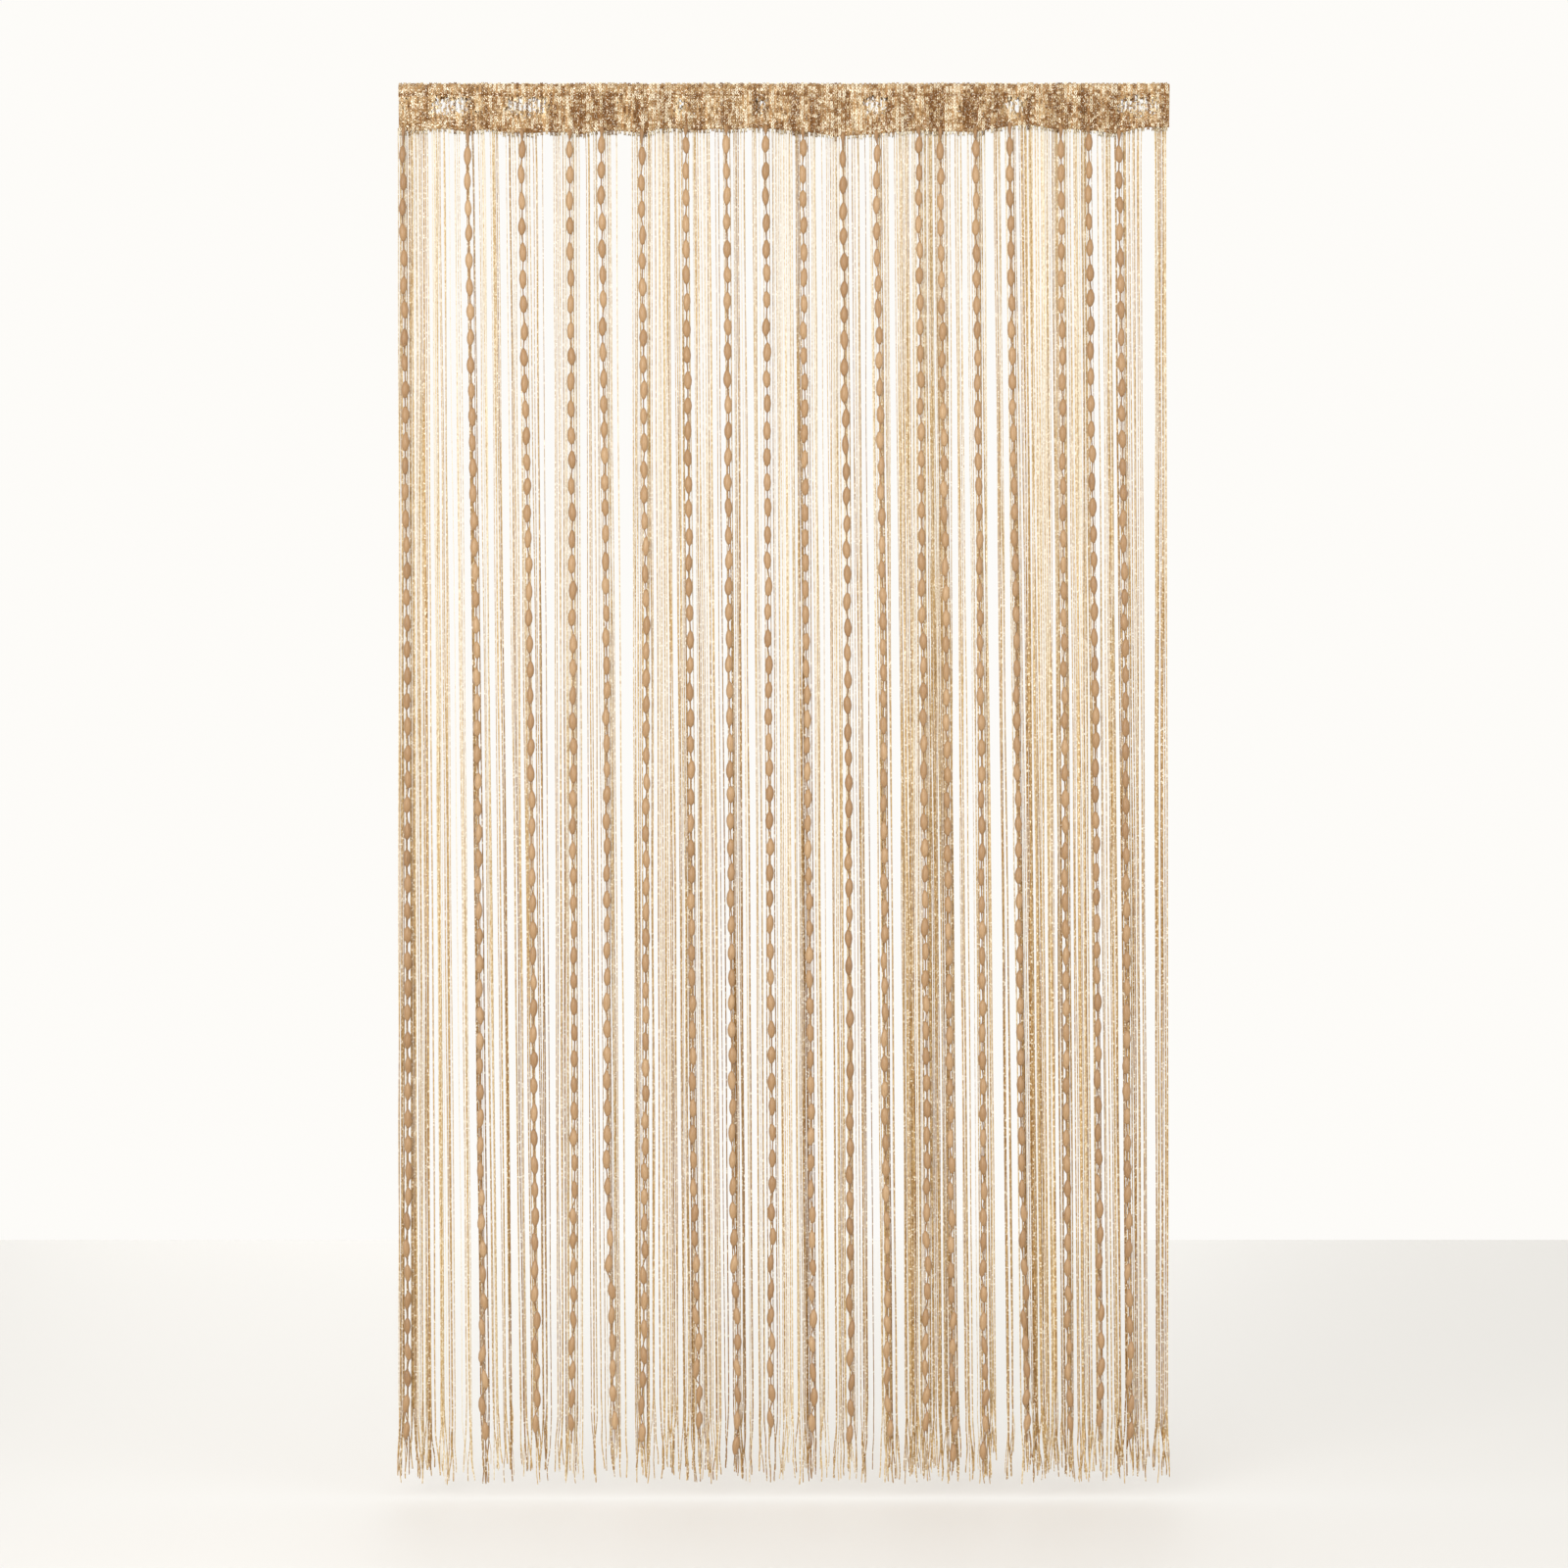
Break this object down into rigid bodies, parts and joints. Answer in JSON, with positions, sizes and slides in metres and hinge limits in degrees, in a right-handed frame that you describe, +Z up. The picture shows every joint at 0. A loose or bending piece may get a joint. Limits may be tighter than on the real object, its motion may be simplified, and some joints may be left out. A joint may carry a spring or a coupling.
{
  "type": "tassel curtain",
  "caption": "Hanging string curtain: a gathered knitted heading with a rod pocket, glitter strings that fall in bunches, and evenly spaced strands of slub yarn.",
  "frame": {"origin": "middle of the heading's top edge, where the curtain hangs from its rod", "axes": "+X along the width to the right seen from the front, +Z up, -Y to the front"},
  "size_m": [1.1, 0.0238, 1.9999],
  "materials": {
    "heading_knit": "open knit of matt and glitter yarn, brown and beige",
    "glitter_string": "beige yarn with silver glitter filament",
    "slub_yarn": "satin tan slub yarn"
  },
  "bodies": {
    "root": {"heading": "heading_knit", "string_row": "glitter_string", "slub_row_left": "slub_yarn", "slub_row_right": "slub_yarn"}
  },
  "joints": []
}
